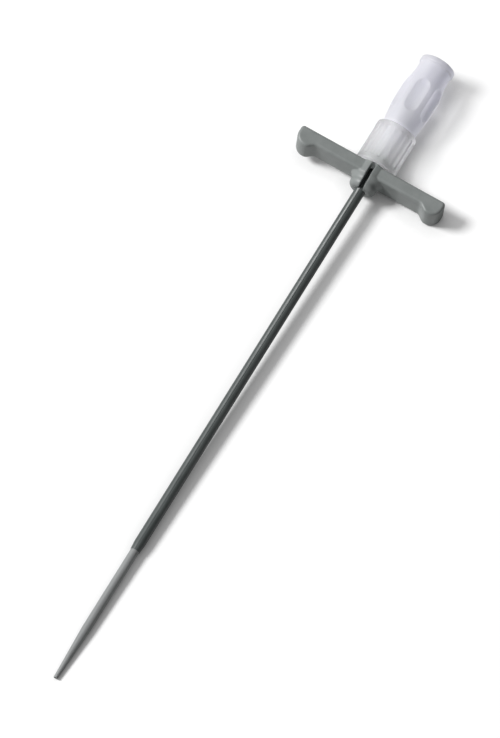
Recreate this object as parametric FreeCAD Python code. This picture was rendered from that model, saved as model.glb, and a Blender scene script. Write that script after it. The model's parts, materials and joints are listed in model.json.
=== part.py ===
import FreeCAD, Part
import math
import os

# A peel-away vascular sheath introducer, lying on a table as it is put down.
# A thin sheath is moulded into a T handle that snaps apart along two slots.
# A tapered dilator runs through the sheath, and its hub is held by a turning lock collar.
# Each piece is drawn along X with the handle's nose at zero and the hub towards +X,
# and the whole device is then laid down. Sizes are millimetres and degrees.

# Driving dimensions of the sheath tube
SHEATH_LENGTH = 130.0
SHEATH_BORE = 2.75
SHEATH_WALL = 0.3
SHEATH_TIP_WALL = 0.08
SHEATH_TIP_TAPER = 2.6
SCORE_WIDTH = 0.32
SCORE_DEPTH = 0.11
BELL_LENGTH = 0.9
BELL_LAND = 0.7

# Driving dimensions of the T handle
NOSE_LENGTH = 4.15
NOSE_DIAMETER = 8.4
NOSE_ROUNDING = 1.7
NOSE_BLEND = 1.5
NOSE_FLARE = 1.5
BARREL_DIAMETER = 10.4
BARREL_ROUNDING = 0.4
WING_SPAN = 48.4
WING_HEIGHT = 9.0
WING_THICKNESS = 3.95
WING_EDGE_ROUNDING = 0.8
FOOT_DROP = 1.75
FOOT_LENGTH = 4.3
FOOT_SLOPE_LENGTH = 2.3
FOOT_ROUNDING = 3.4
FOOT_BLEND = 2.0
WING_CORNER_ROUNDING = 1.0
SLOT_WIDTH = 1.45
SLOT_WEB = 0.35
BOSS_LENGTH = 3.9
BOSS_WALL = 1.3
LUG_HEIGHT = 0.8
LUG_WIDTH = 3.2
LUG_LENGTH = 1.2
SOCKET_DEPTH = 4.3

# Driving dimensions of the dilator tube
DILATOR_REACH = 44.4
DILATOR_LUMEN = 1.0
DILATOR_TIP_WALL = 0.12
DILATOR_TAPER_LENGTH = 17.0

# Driving dimensions of the dilator hub
CONE_TIP_WALL = 0.6
CONE_TIP_SET_BACK = 0.3
LUER_TAPER = 0.06
SHOULDER_OFFSET = 1.0
NECK_WALL = 1.65
FLANGE_THICKNESS = 1.4
GRIP_LENGTH = 24.6
GRIP_DIAMETER = 10.3
GRIP_FRONT_ROUNDING = 1.1
GRIP_CROWN_HEIGHT = 0.9
GRIP_CROWN_LENGTH = 7.0
GRIP_CROWN_RISE = 7.6
GRIP_CROWN_FALL = 4.5
GRIP_CROWN_BLEND = 12.0
GRIP_RIM_HEIGHT = 0.4
GRIP_RIM_LENGTH = 1.8
GRIP_RIM_ROUNDING = 0.3
GRIP_FLUTES = 6
GRIP_FLUTE_RADIUS = 3.6
GRIP_FLUTE_DEPTH = 1.1
GRIP_FLUTE_OVERRUN = 3.4
LUER_MOUTH = 4.3
LUER_DEPTH = 9.0
FUNNEL_LENGTH = 4.0
LUMEN_LAND = 1.5

# Driving dimensions of the lock collar
COLLAR_LENGTH = 13.6
COLLAR_WALL = 1.7
COLLAR_RIM_HEIGHT = 0.35
COLLAR_RIM_LENGTH = 1.1
COLLAR_ROUNDING = 0.25
COLLAR_FLUTES = 18
COLLAR_FLUTE_RADIUS = 0.9
COLLAR_LIP_THICKNESS = 1.8

# Clearances
DILATOR_CLEARANCE = 0.04
CONE_CLEARANCE = 0.03
LUG_CLEARANCE = 0.2
FLANGE_CLEARANCE = 0.5
LIP_CLEARANCE = 0.08
LIP_END_CLEARANCE = 0.15
COLLAR_END_CLEARANCE = 0.3

# Overshoot of a cutting body past the face that it opens
OVERCUT = 1.0

# Radii along the sheath and the dilator
bore_radius = SHEATH_BORE / 2
sheath_radius = bore_radius + SHEATH_WALL
dilator_radius = bore_radius - DILATOR_CLEARANCE
lumen_radius = DILATOR_LUMEN / 2
dilator_tip_radius = lumen_radius + DILATOR_TIP_WALL

# Stations along the axis, from the nose to the end of the hub
wing_front = NOSE_LENGTH
wing_back = wing_front + WING_THICKNESS
foot_front = wing_front - FOOT_DROP
boss_end = wing_back + BOSS_LENGTH
socket_floor = boss_end - SOCKET_DEPTH
bell_start = socket_floor - BELL_LAND - BELL_LENGTH
cone_tip = socket_floor + CONE_TIP_SET_BACK
shoulder = boss_end + SHOULDER_OFFSET
collar_start = wing_back + COLLAR_END_CLEARANCE
collar_end = collar_start + COLLAR_LENGTH
lip_start = collar_end - COLLAR_LIP_THICKNESS
flange_end = lip_start - LIP_END_CLEARANCE
flange_start = flange_end - FLANGE_THICKNESS
grip_start = collar_end + COLLAR_END_CLEARANCE
grip_end = grip_start + GRIP_LENGTH
luer_floor = grip_end - LUER_DEPTH
funnel_end = luer_floor - FUNNEL_LENGTH
tube_seat_end = funnel_end - LUMEN_LAND
sheath_tip = -SHEATH_LENGTH
dilator_tip = sheath_tip - DILATOR_REACH
taper_end = dilator_tip + DILATOR_TAPER_LENGTH

# The tapered cone of the hub and the socket around it widen by the same taper
cone_tip_radius = dilator_radius + CONE_TIP_WALL
taper_slope = LUER_TAPER / 2
socket_floor_radius = cone_tip_radius + CONE_CLEARANCE - taper_slope * CONE_TIP_SET_BACK
socket_mouth_radius = socket_floor_radius + taper_slope * SOCKET_DEPTH
cone_back_radius = cone_tip_radius + taper_slope * (shoulder - cone_tip)
bell_bore_radius = socket_floor_radius - CONE_CLEARANCE
bell_radius = bell_bore_radius + SHEATH_WALL

# Radii of the boss, the collar around it, and the hub's neck and grip
boss_radius = socket_mouth_radius + BOSS_WALL
lug_radius = boss_radius + LUG_HEIGHT
collar_bore_radius = lug_radius + LUG_CLEARANCE
collar_rim_radius = collar_bore_radius + COLLAR_WALL + COLLAR_RIM_HEIGHT
neck_radius = dilator_radius + NECK_WALL
lip_radius = neck_radius + LIP_CLEARANCE
flange_radius = collar_bore_radius - FLANGE_CLEARANCE
grip_radius = GRIP_DIAMETER / 2
grip_crown_radius = grip_radius + GRIP_CROWN_HEIGHT
grip_rim_radius = grip_radius + GRIP_RIM_HEIGHT
slot_floor = bell_radius + SLOT_WEB
luer_floor_radius = LUER_MOUTH / 2 - taper_slope * LUER_DEPTH


def point(along, across, up=0.0):
    return FreeCAD.Vector(along, across, up)


def rounded_face(corners):
    """Flat face in the XY plane. Each corner is (x, y, rounding)."""
    arrivals = []
    departures = []
    middles = []
    count = len(corners)
    for index, (x, y, rounding) in enumerate(corners):
        here = point(x, y)
        before = point(*corners[index - 1][:2]) - here
        after = point(*corners[(index + 1) % count][:2]) - here
        before.normalize()
        after.normalize()
        half_angle = before.getAngle(after) / 2
        reach = rounding / math.tan(half_angle)
        bisector = before + after
        if rounding > 0:
            bisector.normalize()
        arrivals.append(here + before * reach)
        departures.append(here + after * reach)
        middles.append(here + bisector * (rounding / math.sin(half_angle) - rounding))
    edges = []
    for index in range(count):
        if corners[index][2] > 0:
            edges.append(Part.Arc(arrivals[index], middles[index], departures[index]).toShape())
        following = arrivals[(index + 1) % count]
        edges.append(Part.LineSegment(departures[index], following).toShape())
    return Part.Face(Part.Wire(edges))


def turned(corners):
    """Solid of revolution about the X axis. Each corner is (x, radius) or (x, radius, rounding)."""
    full = [(corner + (0.0,))[:3] for corner in corners]
    return rounded_face(full).revolve(point(0, 0), point(1, 0), 360)


def cone_between(start, end, start_radius, end_radius):
    """Plain cone or cylinder about the X axis."""
    return turned([(start, 0), (start, start_radius), (end, end_radius), (end, 0)])


def box_between(low, high):
    size = high - low
    return Part.makeBox(size.x, size.y, size.z, low)


def fluted(body, count, start, end, outer_radius, flute_radius, flute_depth):
    """Cuts flutes that run out softly at both ends, evenly spaced about the X axis, into the body."""
    runout = 0.9 * flute_radius
    groove = turned([
        (start, 0),
        (start, flute_radius, runout),
        (end, flute_radius, runout),
        (end, 0),
    ])
    groove.translate(point(0, 0, outer_radius + flute_radius - flute_depth))
    grooves = []
    for index in range(count):
        copy = groove.copy()
        copy.rotate(point(0, 0), point(1, 0), 360 * index / count)
        grooves.append(copy)
    return body.cut(grooves)


def sheath_outline():
    """Outside of the sheath tube, with its tapered tip and the bell that the handle grips."""
    return [
        (sheath_tip, bore_radius + SHEATH_TIP_WALL),
        (sheath_tip + SHEATH_TIP_TAPER, sheath_radius),
        (bell_start, sheath_radius),
        (bell_start + BELL_LENGTH, bell_radius),
        (socket_floor, bell_radius),
    ]


def sheath_tube():
    """Thin tube with two score lines, one above and one below, along which it peels."""
    inside = [
        (socket_floor, bell_bore_radius),
        (bell_start + BELL_LENGTH, bell_bore_radius),
        (bell_start, bore_radius),
        (sheath_tip, bore_radius),
    ]
    tube = turned(sheath_outline() + inside)
    for side in (1, -1):
        groove = Part.makePolygon([
            point(sheath_tip, -SCORE_WIDTH, side * (sheath_radius + SCORE_DEPTH)),
            point(sheath_tip, SCORE_WIDTH, side * (sheath_radius + SCORE_DEPTH)),
            point(sheath_tip, 0, side * (sheath_radius - SCORE_DEPTH)),
            point(sheath_tip, -SCORE_WIDTH, side * (sheath_radius + SCORE_DEPTH)),
        ])
        tube = tube.cut(Part.Face(groove).extrude(point(SHEATH_LENGTH, 0)))
    return tube


def wing_blade():
    """Both finger wings as one bar, with a foot at each end that drops towards the patient."""
    half = WING_SPAN / 2
    foot_inner = half - FOOT_LENGTH
    slope_inner = foot_inner - FOOT_SLOPE_LENGTH
    one_side = [
        (wing_back, half, WING_CORNER_ROUNDING),
        (foot_front, half, FOOT_ROUNDING),
        (foot_front, foot_inner, FOOT_BLEND),
        (wing_front, slope_inner, FOOT_BLEND),
    ]
    other_side = [(x, -y, rounding) for x, y, rounding in reversed(one_side)]
    blade = rounded_face(one_side + other_side).extrude(point(0, 0, WING_HEIGHT))
    blade.translate(point(0, 0, -WING_HEIGHT / 2))
    rims = []
    for face in blade.Faces:
        if abs(abs(face.CenterOfMass.z) - WING_HEIGHT / 2) < 0.01:
            rims += face.Edges
    return blade.makeFillet(WING_EDGE_ROUNDING, rims)


def sheath_handle():
    """One moulding: nose, barrel, wings and a lugged boss, split above and below by a break slot.

    The slot is open down to the sheath tube, and a thin web closes it only over the bell and
    in the boss, where the two halves of the handle hold together until they are snapped.
    """
    barrel = turned([
        (0, 0),
        (0, NOSE_DIAMETER / 2, NOSE_ROUNDING),
        (wing_front - NOSE_FLARE, NOSE_DIAMETER / 2, NOSE_BLEND),
        (wing_front, BARREL_DIAMETER / 2, BARREL_ROUNDING),
        (wing_back, BARREL_DIAMETER / 2, BARREL_ROUNDING),
        (wing_back, 0),
    ])
    boss = cone_between(wing_front, boss_end, boss_radius, boss_radius)
    lug_ring = cone_between(boss_end - LUG_LENGTH, boss_end, lug_radius, lug_radius)
    lug_band = box_between(
        point(wing_back, -lug_radius - OVERCUT, -LUG_WIDTH / 2),
        point(boss_end, lug_radius + OVERCUT, LUG_WIDTH / 2),
    )
    lugs = lug_ring.common(lug_band)
    handle = wing_blade().fuse([barrel, boss, lugs]).removeSplitter()
    socket = cone_between(socket_floor, boss_end, socket_floor_radius, socket_mouth_radius)
    outline = sheath_outline()
    tube_space = turned([(outline[0][0], 0)] + outline + [(outline[-1][0], 0)])
    handle = handle.cut([socket, tube_space])
    slot_top = BARREL_DIAMETER + WING_HEIGHT
    for side in (0, 180):
        webbed = box_between(
            point(-OVERCUT, -SLOT_WIDTH / 2, slot_floor),
            point(boss_end + OVERCUT, SLOT_WIDTH / 2, slot_top),
        )
        open_slot = box_between(
            point(-OVERCUT, -SLOT_WIDTH / 2, 0),
            point(bell_start + BELL_LENGTH, SLOT_WIDTH / 2, slot_top),
        )
        for slot in (webbed, open_slot):
            slot.rotate(point(0, 0), point(1, 0), side)
            handle = handle.cut(slot)
    return handle


def dilator_tube():
    """Stiff tube with a long tapered tip and a lumen for the guidewire."""
    return turned([
        (dilator_tip, lumen_radius),
        (dilator_tip, dilator_tip_radius),
        (taper_end, dilator_radius),
        (tube_seat_end, dilator_radius),
        (tube_seat_end, lumen_radius),
    ])


def dilator_hub():
    """One moulding: cone for the handle's socket, neck with a flange, and a crowned, fluted grip."""
    crown_start = grip_start + GRIP_CROWN_RISE
    crown_end = crown_start + GRIP_CROWN_LENGTH
    fall_end = crown_end + GRIP_CROWN_FALL
    rim_start = grip_end - GRIP_RIM_LENGTH
    body = turned([
        (cone_tip, 0),
        (cone_tip, cone_tip_radius),
        (shoulder, cone_back_radius),
        (shoulder, neck_radius),
        (flange_start, neck_radius),
        (flange_start, flange_radius),
        (flange_end, flange_radius),
        (flange_end, neck_radius),
        (grip_start, neck_radius),
        (grip_start, grip_radius, GRIP_FRONT_ROUNDING),
        (crown_start, grip_crown_radius, GRIP_CROWN_BLEND),
        (crown_end, grip_crown_radius, GRIP_CROWN_BLEND),
        (fall_end, grip_radius, GRIP_CROWN_BLEND),
        (rim_start, grip_radius),
        (rim_start, grip_rim_radius, GRIP_RIM_ROUNDING),
        (grip_end, grip_rim_radius, GRIP_RIM_ROUNDING),
        (grip_end, 0),
    ])
    passage = turned([
        (cone_tip, 0),
        (cone_tip, dilator_radius),
        (tube_seat_end, dilator_radius),
        (tube_seat_end, lumen_radius),
        (funnel_end, lumen_radius),
        (luer_floor, luer_floor_radius),
        (grip_end, LUER_MOUTH / 2),
        (grip_end, 0),
    ])
    body = fluted(
        body,
        GRIP_FLUTES,
        crown_start - GRIP_FLUTE_OVERRUN,
        crown_end + GRIP_FLUTE_OVERRUN,
        grip_crown_radius,
        GRIP_FLUTE_RADIUS,
        GRIP_FLUTE_DEPTH,
    )
    return body.cut(passage)


def lock_collar():
    """Clear turning sleeve with fluted sides, held on the hub's neck by its inner lip."""
    ring = turned([
        (collar_start, collar_bore_radius),
        (collar_start, collar_rim_radius, COLLAR_ROUNDING),
        (collar_end, collar_rim_radius, COLLAR_ROUNDING),
        (collar_end, lip_radius),
        (lip_start, lip_radius),
        (lip_start, collar_bore_radius),
    ])
    return fluted(
        ring,
        COLLAR_FLUTES,
        collar_start + COLLAR_RIM_LENGTH,
        collar_end - COLLAR_RIM_LENGTH,
        collar_rim_radius,
        COLLAR_FLUTE_RADIUS,
        COLLAR_RIM_HEIGHT,
    )


# Resting attitude: the front rim of the collar and the dilator touch the table, which
# sets the pitch, and the device rolls until the foot of one wing touches too.
rim_contact = collar_start + COLLAR_ROUNDING
pitch = min(
    math.atan2(collar_rim_radius - dilator_tip_radius, rim_contact - dilator_tip),
    math.atan2(collar_rim_radius - dilator_radius, rim_contact - taper_end),
)
nose_height = collar_rim_radius * math.cos(pitch) - rim_contact * math.sin(pitch)


def foot_height(roll):
    """Height of the lowered foot's lowest point above the table, at that roll in radians."""
    turn_x = foot_front + FOOT_ROUNDING
    turn_y = WING_SPAN / 2 - FOOT_ROUNDING
    lean_x = math.sin(pitch)
    lean_y = math.cos(pitch) * math.sin(roll)
    height = nose_height + turn_x * lean_x - turn_y * lean_y
    height -= (FOOT_ROUNDING - WING_EDGE_ROUNDING) * math.hypot(lean_x, lean_y)
    height -= (WING_HEIGHT / 2 - WING_EDGE_ROUNDING) * math.cos(pitch) * math.cos(roll)
    return height - WING_EDGE_ROUNDING


roll = 0.0
roll_step = math.radians(45)
while roll_step > 1e-9:
    if foot_height(roll + roll_step) > 0:
        roll += roll_step
    roll_step /= 2
pitched = FreeCAD.Rotation(point(0, 1), -math.degrees(pitch))
rolled = FreeCAD.Rotation(point(1, 0), math.degrees(roll))
attitude = pitched.multiply(rolled)

# The origin is the middle of the laid-down device, on the table
tip_edge = dilator_tip * math.cos(pitch) - dilator_tip_radius * math.sin(pitch)
rim_corner = grip_end - GRIP_RIM_ROUNDING
rim_edge = rim_corner * math.cos(pitch) + GRIP_RIM_ROUNDING
rim_edge += (grip_rim_radius - GRIP_RIM_ROUNDING) * math.sin(pitch)
resting = FreeCAD.Placement(point(-(tip_edge + rim_edge) / 2, 0, nose_height), attitude)

pieces = {
    "sheath_handle": sheath_handle(),
    "sheath_tube": sheath_tube(),
    "dilator_tube": dilator_tube(),
    "dilator_hub": dilator_hub(),
    "lock_collar": lock_collar(),
}

os.makedirs("parts", exist_ok=True)
for name, shape in pieces.items():
    shape.Placement = resting
    shape.exportStep(f"parts/{name}.step")
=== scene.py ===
import bmesh
import bpy
import json
import math
from mathutils import Matrix, Vector


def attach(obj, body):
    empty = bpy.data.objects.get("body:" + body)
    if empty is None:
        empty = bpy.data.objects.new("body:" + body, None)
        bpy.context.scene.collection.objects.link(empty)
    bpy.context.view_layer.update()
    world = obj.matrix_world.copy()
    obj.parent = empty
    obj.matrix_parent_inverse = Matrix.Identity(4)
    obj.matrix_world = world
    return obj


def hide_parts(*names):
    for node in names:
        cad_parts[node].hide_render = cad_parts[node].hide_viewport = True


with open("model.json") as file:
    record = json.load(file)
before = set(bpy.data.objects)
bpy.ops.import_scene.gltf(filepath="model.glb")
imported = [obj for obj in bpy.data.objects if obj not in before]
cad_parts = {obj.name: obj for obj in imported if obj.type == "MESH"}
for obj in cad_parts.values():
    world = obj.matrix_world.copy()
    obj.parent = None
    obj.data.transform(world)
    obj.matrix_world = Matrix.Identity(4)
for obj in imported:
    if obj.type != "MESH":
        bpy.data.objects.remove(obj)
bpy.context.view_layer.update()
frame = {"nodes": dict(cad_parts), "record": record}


# Sheath tube
# The thin outer tube is extruded from dark grey fluoropolymer and drawn down at its tip.
# Two score lines run its whole length, above and below, so that it peels in two halves.
# Its belled end is moulded into the handle.
GRIP_END = 46.9
ROLL = math.radians(4.5187451)
SHEATH_TIP = -130.0
SHEATH_RADIUS = 1.675
SHEATH_BORE_RADIUS = 1.375
SHEATH_TIP_TAPER = 2.6
SHEATH_TIP_WALL = 0.08
BELL_START = 6.1
BELL_LENGTH = 0.9
BELL_END = 7.7
BELL_RADIUS = 2.226
BELL_BORE_RADIUS = 1.926
SCORE_DEPTH = 0.11
TUBE_STEPS = 96
CRISP_ANGLE = math.radians(38)
TOLERANCE = 0.01

# The device is drawn in millimetres along X, the nose at zero and the hub towards +X, and
# is then laid on the table: pitched up on its collar and rolled onto one wing.
mounts = {mount["name"]: mount for mount in frame["record"]["mounts"]}
hub_mouth = Vector(mounts["syringe_socket"]["pos_m"])
axis = Vector(mounts["syringe_socket"]["axis"]).normalized()
pitch = math.atan2(axis.z, axis.x)
laid_down = (
    Matrix.Translation(hub_mouth)
    @ Matrix.Rotation(-pitch, 4, "Y")
    @ Matrix.Rotation(ROLL, 4, "X")
    @ Matrix.Scale(0.001, 4)
    @ Matrix.Translation((-GRIP_END, 0, 0))
)


def turned(profile, steps):
    """Mesh of a closed outline of (x, radius) points, turned about the device's axis."""
    mesh = bmesh.new()
    points = [mesh.verts.new((x, 0, radius)) for x, radius in profile]
    for first, second in zip(points, points[1:] + points[:1]):
        mesh.edges.new((first, second))
    bmesh.ops.spin(
        mesh, geom=mesh.verts[:] + mesh.edges[:], cent=(0, 0, 0), axis=(1, 0, 0),
        angle=math.tau, steps=steps, use_merge=True, use_duplicate=False,
    )
    bmesh.ops.remove_doubles(mesh, verts=mesh.verts[:], dist=1e-5)
    bmesh.ops.recalc_face_normals(mesh, faces=mesh.faces[:])
    return mesh


def put_on(piece, skin, body, node):
    """The piece gets its plastic, rides on its body and stands in for its plain solid."""
    piece.data.materials.append(skin)
    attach(piece, body)
    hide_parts(node)


def laid_piece(mesh, name):
    """Lays the drawn mesh down and makes it a smooth object with crisp corners."""
    for face in mesh.faces:
        face.smooth = True
    mesh.transform(laid_down)
    data = bpy.data.meshes.new(name)
    mesh.to_mesh(data)
    mesh.free()
    data.set_sharp_from_angle(angle=CRISP_ANGLE)
    piece = bpy.data.objects.new(name, data)
    bpy.context.scene.collection.objects.link(piece)
    return piece


def new_plastic(name, colour, roughness):
    """Plastic whose pattern is laid along the device."""
    material = bpy.data.materials.new(name)
    material.use_nodes = True
    nodes, links = material.node_tree.nodes, material.node_tree.links
    plastic = nodes["Principled BSDF"]
    plastic.inputs["Base Color"].default_value = colour
    plastic.inputs["Roughness"].default_value = roughness
    place = nodes.new("ShaderNodeTexCoord")
    along = nodes.new("ShaderNodeMapping")
    along.inputs["Rotation"].default_value = (-ROLL, pitch, 0)
    links.new(place.outputs["Object"], along.inputs["Vector"])
    return material, nodes, links, plastic, along


def add_noise(nodes, links, along, stretch, scale, detail=4.0):
    """Noise of that scale in marks per metre, drawn out along the device by stretch."""
    drawn = nodes.new("ShaderNodeVectorMath")
    drawn.operation = "MULTIPLY"
    drawn.inputs[1].default_value = (1 / stretch, 1, 1)
    links.new(along.outputs["Vector"], drawn.inputs[0])
    noise = nodes.new("ShaderNodeTexNoise")
    noise.inputs["Scale"].default_value = scale
    noise.inputs["Detail"].default_value = detail
    links.new(drawn.outputs["Vector"], noise.inputs["Vector"])
    return noise


# Most of a noise lies between these two values.
NOISE_LOW = 0.3
NOISE_HIGH = 0.7


def vary_colour(nodes, links, noise, socket, dark, light):
    """The noise picks a colour between dark and light for the socket."""
    ramp = nodes.new("ShaderNodeValToRGB")
    ramp.color_ramp.elements[0].position = NOISE_LOW
    ramp.color_ramp.elements[0].color = dark
    ramp.color_ramp.elements[1].position = NOISE_HIGH
    ramp.color_ramp.elements[1].color = light
    links.new(noise.outputs["Fac"], ramp.inputs["Fac"])
    links.new(ramp.outputs["Color"], socket)


def vary_number(nodes, links, noise, socket, low, high):
    """The noise picks a number between low and high for the socket."""
    spread = nodes.new("ShaderNodeMapRange")
    spread.inputs["From Min"].default_value = NOISE_LOW
    spread.inputs["From Max"].default_value = NOISE_HIGH
    spread.inputs["To Min"].default_value = low
    spread.inputs["To Max"].default_value = high
    links.new(noise.outputs["Fac"], spread.inputs["Value"])
    links.new(spread.outputs["Result"], socket)


def add_bump(nodes, links, noise, plastic, depth):
    """The noise raises the surface by depth, in metres."""
    bump = nodes.new("ShaderNodeBump")
    bump.inputs["Distance"].default_value = depth
    links.new(noise.outputs["Fac"], bump.inputs["Height"])
    links.new(bump.outputs["Normal"], plastic.inputs["Normal"])


sheath_skin, nodes, links, plastic, along = new_plastic("sheath_grey", (0.072, 0.082, 0.08, 1), 0.4)
streaks = add_noise(nodes, links, along, stretch=14, scale=5200)
clouds = add_noise(nodes, links, along, stretch=4, scale=420)
vary_colour(
    nodes, links, clouds, plastic.inputs["Base Color"],
    dark=(0.06, 0.07, 0.068, 1), light=(0.088, 0.1, 0.098, 1),
)
vary_number(nodes, links, streaks, plastic.inputs["Roughness"], low=0.32, high=0.5)
add_bump(nodes, links, streaks, plastic, depth=0.00001)

sheath = turned(
    [
        (SHEATH_TIP, SHEATH_BORE_RADIUS + SHEATH_TIP_WALL),
        (SHEATH_TIP + SHEATH_TIP_TAPER, SHEATH_RADIUS),
        (BELL_START, SHEATH_RADIUS),
        (BELL_START + BELL_LENGTH, BELL_RADIUS),
        (BELL_END, BELL_RADIUS),
        (BELL_END, BELL_BORE_RADIUS),
        (BELL_START + BELL_LENGTH, BELL_BORE_RADIUS),
        (BELL_START, SHEATH_BORE_RADIUS),
        (SHEATH_TIP, SHEATH_BORE_RADIUS),
    ],
    TUBE_STEPS,
)
# The score lines sink into the outside, above and below, as far as the bell.
for vert in sheath.verts:
    radius = math.hypot(vert.co.y, vert.co.z)
    on_line = abs(vert.co.y) < TOLERANCE
    outside = radius > SHEATH_RADIUS - TOLERANCE
    before_bell = vert.co.x < BELL_START + TOLERANCE
    if on_line and outside and before_bell:
        vert.co.z *= 1 - SCORE_DEPTH / radius
put_on(laid_piece(sheath, "peel_sheath"), sheath_skin, "sheath", "sheath_tube")


# Sheath handle
# One satin grey moulding: nose, two finger wings with feet, and the lugged boss that the
# collar grips. The break slots above and below let it snap in two. Every outer edge and
# inner corner is softened, as it leaves the mould.
# The even skin grows at this slant to the piece, so that no flat face of it shows steps.
SLANT = Matrix.Rotation(math.radians(37), 4, Vector((1, 2, 3)).normalized())


def softened(node, name, grain, passes, additions=()):
    """Copy of a plain solid whose edges and inner corners are rounded off, as by moulding.
    The grain is the size of its facets in metres, and each pass rounds it further."""
    source = bmesh.new()
    source.from_mesh(frame["nodes"][node].data)
    bmesh.ops.remove_doubles(source, verts=source.verts[:], dist=1e-6)
    for addition in additions:
        source.from_mesh(addition)
    source.transform(SLANT)
    data = bpy.data.meshes.new(name)
    source.to_mesh(data)
    source.free()
    copy = bpy.data.objects.new(name, data)
    bpy.context.scene.collection.objects.link(copy)
    remesh = copy.modifiers.new("even_skin", "REMESH")
    remesh.mode = "VOXEL"
    remesh.voxel_size = grain
    remesh.use_smooth_shade = True
    smooth = copy.modifiers.new("soft_edges", "SMOOTH")
    smooth.factor = 0.5
    smooth.iterations = passes
    bpy.context.view_layer.update()
    shaped = bpy.data.meshes.new_from_object(copy.evaluated_get(bpy.context.evaluated_depsgraph_get()))
    shaped.transform(SLANT.inverted())
    copy.modifiers.clear()
    copy.data = shaped
    bpy.data.meshes.remove(data)
    return copy


handle_skin, nodes, links, plastic, along = new_plastic("handle_grey", (0.243, 0.26, 0.255, 1), 0.45)
clouds = add_noise(nodes, links, along, stretch=1, scale=260)
grain = add_noise(nodes, links, along, stretch=1, scale=9000, detail=2.0)
vary_colour(
    nodes, links, clouds, plastic.inputs["Base Color"],
    dark=(0.22, 0.237, 0.232, 1), light=(0.265, 0.282, 0.278, 1),
)
vary_number(nodes, links, grain, plastic.inputs["Roughness"], low=0.38, high=0.55)
add_bump(nodes, links, grain, plastic, depth=0.000008)

handle = softened("sheath_handle", "finger_handle", grain=0.000165, passes=3)
put_on(handle, handle_skin, "sheath", "sheath_handle")


# Dilator tube
# The stiffer inner tube is extruded from lighter grey plastic and ground to a long taper,
# with a lumen for the guidewire. It is pushed and bonded into the hub.
DILATOR_TIP = -174.399
DILATOR_RADIUS = 1.335
DILATOR_TIP_RADIUS = 0.62
LUMEN_RADIUS = 0.5
TAPER_LENGTH = 17.0
TUBE_SEAT_END = 32.4

dilator_skin, nodes, links, plastic, along = new_plastic("dilator_grey", (0.26, 0.27, 0.27, 1), 0.38)
streaks = add_noise(nodes, links, along, stretch=18, scale=6000)
clouds = add_noise(nodes, links, along, stretch=5, scale=380)
vary_colour(
    nodes, links, clouds, plastic.inputs["Base Color"],
    dark=(0.235, 0.245, 0.245, 1), light=(0.29, 0.3, 0.3, 1),
)
vary_number(nodes, links, streaks, plastic.inputs["Roughness"], low=0.3, high=0.46)
add_bump(nodes, links, streaks, plastic, depth=0.00001)

dilator = turned(
    [
        (DILATOR_TIP, LUMEN_RADIUS),
        (DILATOR_TIP, DILATOR_TIP_RADIUS),
        (DILATOR_TIP + TAPER_LENGTH, DILATOR_RADIUS),
        (TUBE_SEAT_END, DILATOR_RADIUS),
        (TUBE_SEAT_END, LUMEN_RADIUS),
    ],
    TUBE_STEPS,
)
put_on(laid_piece(dilator, "tapered_dilator"), dilator_skin, "dilator", "dilator_tube")


# Dilator hub
# One frosted moulding: a cone that seats in the handle, a neck with the flange that draws
# the collar, and the fluted grip with the syringe's socket in its end. Light soaks into it
# and some of a lamp's light passes through, so its shadow is pale.
SOAK_DEPTH = 0.004


def make_milky(plastic, soaking, clear, bending):
    """Light soaks into the plastic to the soak depth and spreads there. The clear share of
    it goes on through, bent as much as the plastic bends it."""
    plastic.inputs["Subsurface Weight"].default_value = soaking
    plastic.inputs["Subsurface Radius"].default_value = (1, 1, 1)
    plastic.inputs["Subsurface Scale"].default_value = SOAK_DEPTH
    plastic.inputs["Transmission Weight"].default_value = clear
    plastic.inputs["IOR"].default_value = bending


def lets_light_through(material, nodes, links, plastic, colour, soaked, share):
    """The soaked part of the light comes out on the far side in that colour, and the share
    of each lamp's light passes straight through the piece."""
    glowing = nodes.new("ShaderNodeBsdfTranslucent")
    glowing.inputs["Color"].default_value = colour
    milky = nodes.new("ShaderNodeMixShader")
    milky.inputs["Fac"].default_value = soaked
    links.new(plastic.outputs["BSDF"], milky.inputs[1])
    links.new(glowing.outputs["BSDF"], milky.inputs[2])
    path = nodes.new("ShaderNodeLightPath")
    part = nodes.new("ShaderNodeMath")
    part.operation = "MULTIPLY"
    part.inputs[1].default_value = share
    links.new(path.outputs["Is Shadow Ray"], part.inputs[0])
    passing = nodes.new("ShaderNodeBsdfTransparent")
    choice = nodes.new("ShaderNodeMixShader")
    links.new(part.outputs["Value"], choice.inputs["Fac"])
    links.new(milky.outputs["Shader"], choice.inputs[1])
    links.new(passing.outputs["BSDF"], choice.inputs[2])
    links.new(choice.outputs["Shader"], nodes["Material Output"].inputs["Surface"])


hub_skin, nodes, links, plastic, along = new_plastic("hub_frosted", (0.8, 0.8, 0.87, 1), 0.42)
make_milky(plastic, soaking=0.8, clear=0.15, bending=1.49)
clouds = add_noise(nodes, links, along, stretch=9, scale=700)
vary_colour(
    nodes, links, clouds, plastic.inputs["Base Color"],
    dark=(0.8, 0.8, 0.84, 1), light=(0.87, 0.87, 0.9, 1),
)
ripples = add_noise(nodes, links, along, stretch=9, scale=1400)
add_bump(nodes, links, ripples, plastic, depth=0.00004)
lets_light_through(
    hub_skin, nodes, links, plastic,
    colour=(0.88, 0.88, 0.94, 1), soaked=0.4, share=0.55,
)

hub = softened("dilator_hub", "frosted_hub", grain=0.00017, passes=2)
put_on(hub, hub_skin, "dilator", "dilator_hub")


# Lock collar
# A clear moulded sleeve with ribbed sides turns on the hub's neck. The double thread inside
# its bore takes the handle's two lugs and draws the hub down onto the handle.
COLLAR_BORE_RADIUS = 4.385
LUG_MIDDLE = 11.4
THREAD_CREST_RADIUS = 3.72
THREAD_LEAD = 5.0
THREAD_START = LUG_MIDDLE - THREAD_LEAD / 2
THREAD_TURNS = 1.5
THREAD_ROOT_WIDTH = 0.8
THREAD_CREST_WIDTH = 0.36
THREAD_SINK = 0.3
THREAD_STEPS = 64

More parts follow.
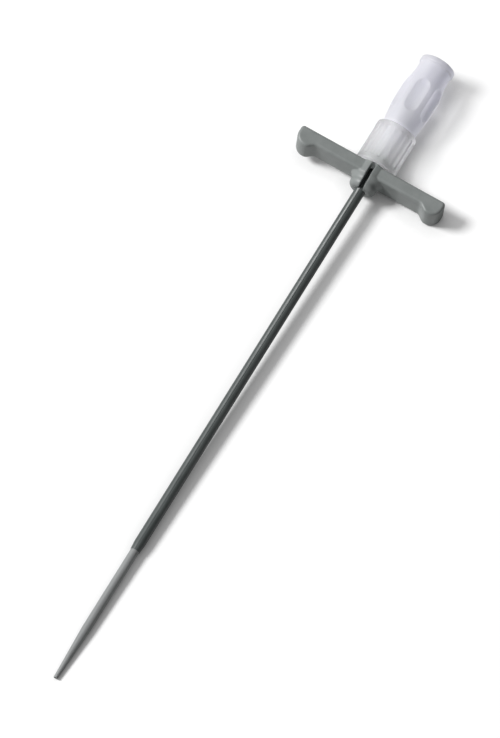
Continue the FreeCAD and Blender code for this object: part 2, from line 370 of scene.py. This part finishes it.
collar_skin, nodes, links, plastic, along = new_plastic("collar_clear", (0.93, 0.94, 0.94, 1), 0.3)
make_milky(plastic, soaking=1.0, clear=0.82, bending=1.5)
clouds = add_noise(nodes, links, along, stretch=6, scale=500)
vary_colour(
    nodes, links, clouds, plastic.inputs["Base Color"],
    dark=(0.9, 0.93, 0.92, 1), light=(0.95, 0.95, 0.96, 1),
)
haze = add_noise(nodes, links, along, stretch=6, scale=800)
vary_number(nodes, links, haze, plastic.inputs["Roughness"], low=0.1, high=0.18)
ripples = add_noise(nodes, links, along, stretch=9, scale=420, detail=1.0)
add_bump(nodes, links, ripples, plastic, depth=0.00003)
lets_light_through(
    collar_skin, nodes, links, plastic,
    colour=(0.95, 0.94, 0.95, 1), soaked=0.33, share=0.75,
)

# Each thread starts where the lugs, at the device's sides, come to lie midway between the two.
threads = []
for start in (0, math.pi):
    thread = bmesh.new()
    corners = [
        (-THREAD_ROOT_WIDTH / 2, COLLAR_BORE_RADIUS + THREAD_SINK),
        (-THREAD_ROOT_WIDTH / 2, COLLAR_BORE_RADIUS),
        (-THREAD_CREST_WIDTH / 2, THREAD_CREST_RADIUS),
        (THREAD_CREST_WIDTH / 2, THREAD_CREST_RADIUS),
        (THREAD_ROOT_WIDTH / 2, COLLAR_BORE_RADIUS),
        (THREAD_ROOT_WIDTH / 2, COLLAR_BORE_RADIUS + THREAD_SINK),
    ]
    section = thread.faces.new([thread.verts.new((THREAD_START + x, 0, radius)) for x, radius in corners])
    steps = round(THREAD_STEPS * THREAD_TURNS)
    bmesh.ops.spin(
        thread, geom=[section], cent=(0, 0, 0), axis=(1, 0, 0), dvec=(THREAD_LEAD / THREAD_STEPS, 0, 0),
        angle=math.tau * THREAD_TURNS, steps=steps, use_merge=False, use_duplicate=False,
    )
    bmesh.ops.rotate(thread, verts=thread.verts[:], cent=(0, 0, 0), matrix=Matrix.Rotation(start, 3, "X"))
    bmesh.ops.recalc_face_normals(thread, faces=thread.faces[:])
    thread.transform(laid_down)
    thread_mesh = bpy.data.meshes.new("thread")
    thread.to_mesh(thread_mesh)
    thread.free()
    threads.append(thread_mesh)

collar = softened("lock_collar", "clear_collar", grain=0.00014, passes=3, additions=threads)
put_on(collar, collar_skin, "collar", "lock_collar")
for thread_mesh in threads:
    bpy.data.meshes.remove(thread_mesh)


# Table, light and camera
# A plain white table, one large soft lamp high on the left, and an even pale room. The
# camera looks down on the device from where it was photographed.
TABLE_SIZE = 3.0
FRAME_WIDTH = 500
FRAME_HEIGHT = 738
FOCAL_PIXELS = 6000
SENSOR = 36.0
AIM = Vector((0.000442, 0.000616, 0))
CAMERA_AZIMUTH = math.radians(30.037)
CAMERA_ELEVATION = math.radians(65.541)
CAMERA_DISTANCE = 1.7399
LAMP_TOWARDS = Vector((-0.28, 0.88, 1.0)).normalized()
LAMP_DISTANCE = 2.5
LAMP_SIZE = 0.78
LAMP_POWER = 74.0
ROOM_STRENGTH = 0.1
TABLE_GLOW = 0.37
CONTACT_REACH = 0.007
CONTACT_DEPTH = 1.6

table_mesh = bmesh.new()
bmesh.ops.create_grid(table_mesh, x_segments=1, y_segments=1, size=TABLE_SIZE / 2)
table_data = bpy.data.meshes.new("table")
table_mesh.to_mesh(table_data)
table_mesh.free()
table = bpy.data.objects.new("table", table_data)
bpy.context.scene.collection.objects.link(table)
table_skin = bpy.data.materials.new("table_white")
table_skin.use_nodes = True
nodes, links = table_skin.node_tree.nodes, table_skin.node_tree.links
table_top = nodes["Principled BSDF"]
table_top.inputs["Base Color"].default_value = (0.72, 0.72, 0.72, 1)
table_top.inputs["Roughness"].default_value = 0.9
table_top.inputs["Specular IOR Level"].default_value = 0.0
table_top.inputs["Emission Color"].default_value = (1, 1, 1, 1)

# The table shines a little by itself, so that the shadows on it stay pale. It does so less
# the closer the device lies over it, which paints a dark shade right under the device.
path = nodes.new("ShaderNodeLightPath")
glow = nodes.new("ShaderNodeMath")
glow.operation = "MULTIPLY"
glow.inputs[1].default_value = TABLE_GLOW
links.new(path.outputs["Is Camera Ray"], glow.inputs[0])
near = nodes.new("ShaderNodeAmbientOcclusion")
near.inputs["Distance"].default_value = CONTACT_REACH
contact = nodes.new("ShaderNodeMath")
contact.operation = "POWER"
contact.inputs[1].default_value = CONTACT_DEPTH
links.new(near.outputs["AO"], contact.inputs[0])
open_glow = nodes.new("ShaderNodeMath")
open_glow.operation = "MULTIPLY"
links.new(glow.outputs["Value"], open_glow.inputs[0])
links.new(contact.outputs["Value"], open_glow.inputs[1])
links.new(open_glow.outputs["Value"], table_top.inputs["Emission Strength"])
table_data.materials.append(table_skin)

room = bpy.data.worlds.new("white_room")
bpy.context.scene.world = room
room.use_nodes = True
nodes, links = room.node_tree.nodes, room.node_tree.links
nodes["Background"].inputs["Color"].default_value = (1, 1, 1, 1)
nodes["Background"].inputs["Strength"].default_value = ROOM_STRENGTH
# Past the table's edge, the room looks plain white.
seen = nodes.new("ShaderNodeBackground")
seen.inputs["Color"].default_value = (1, 1, 1, 1)
seen.inputs["Strength"].default_value = 1.0
path = nodes.new("ShaderNodeLightPath")
choice = nodes.new("ShaderNodeMixShader")
links.new(path.outputs["Is Camera Ray"], choice.inputs["Fac"])
links.new(nodes["Background"].outputs["Background"], choice.inputs[1])
links.new(seen.outputs["Background"], choice.inputs[2])
links.new(choice.outputs["Shader"], nodes["World Output"].inputs["Surface"])

lamp = bpy.data.lights.new("soft_lamp", "AREA")
lamp.shape = "DISK"
lamp.size = LAMP_SIZE
lamp.energy = LAMP_POWER
soft_lamp = bpy.data.objects.new("soft_lamp", lamp)
soft_lamp.location = LAMP_TOWARDS * LAMP_DISTANCE
soft_lamp.rotation_euler = LAMP_TOWARDS.to_track_quat("Z", "Y").to_euler()
bpy.context.scene.collection.objects.link(soft_lamp)

lens = bpy.data.cameras.new("camera")
lens.sensor_width = SENSOR
lens.lens = FOCAL_PIXELS * SENSOR / max(FRAME_WIDTH, FRAME_HEIGHT)
lens.clip_end = 20
camera = bpy.data.objects.new("camera", lens)
level = math.cos(CAMERA_ELEVATION)
looking = Vector((
    math.cos(CAMERA_AZIMUTH) * level,
    math.sin(CAMERA_AZIMUTH) * level,
    -math.sin(CAMERA_ELEVATION),
))
camera.location = AIM - looking * CAMERA_DISTANCE
camera.rotation_euler = looking.to_track_quat("-Z", "Y").to_euler()
bpy.context.scene.collection.objects.link(camera)
bpy.context.scene.camera = camera
bpy.context.scene.view_settings.view_transform = "Standard"
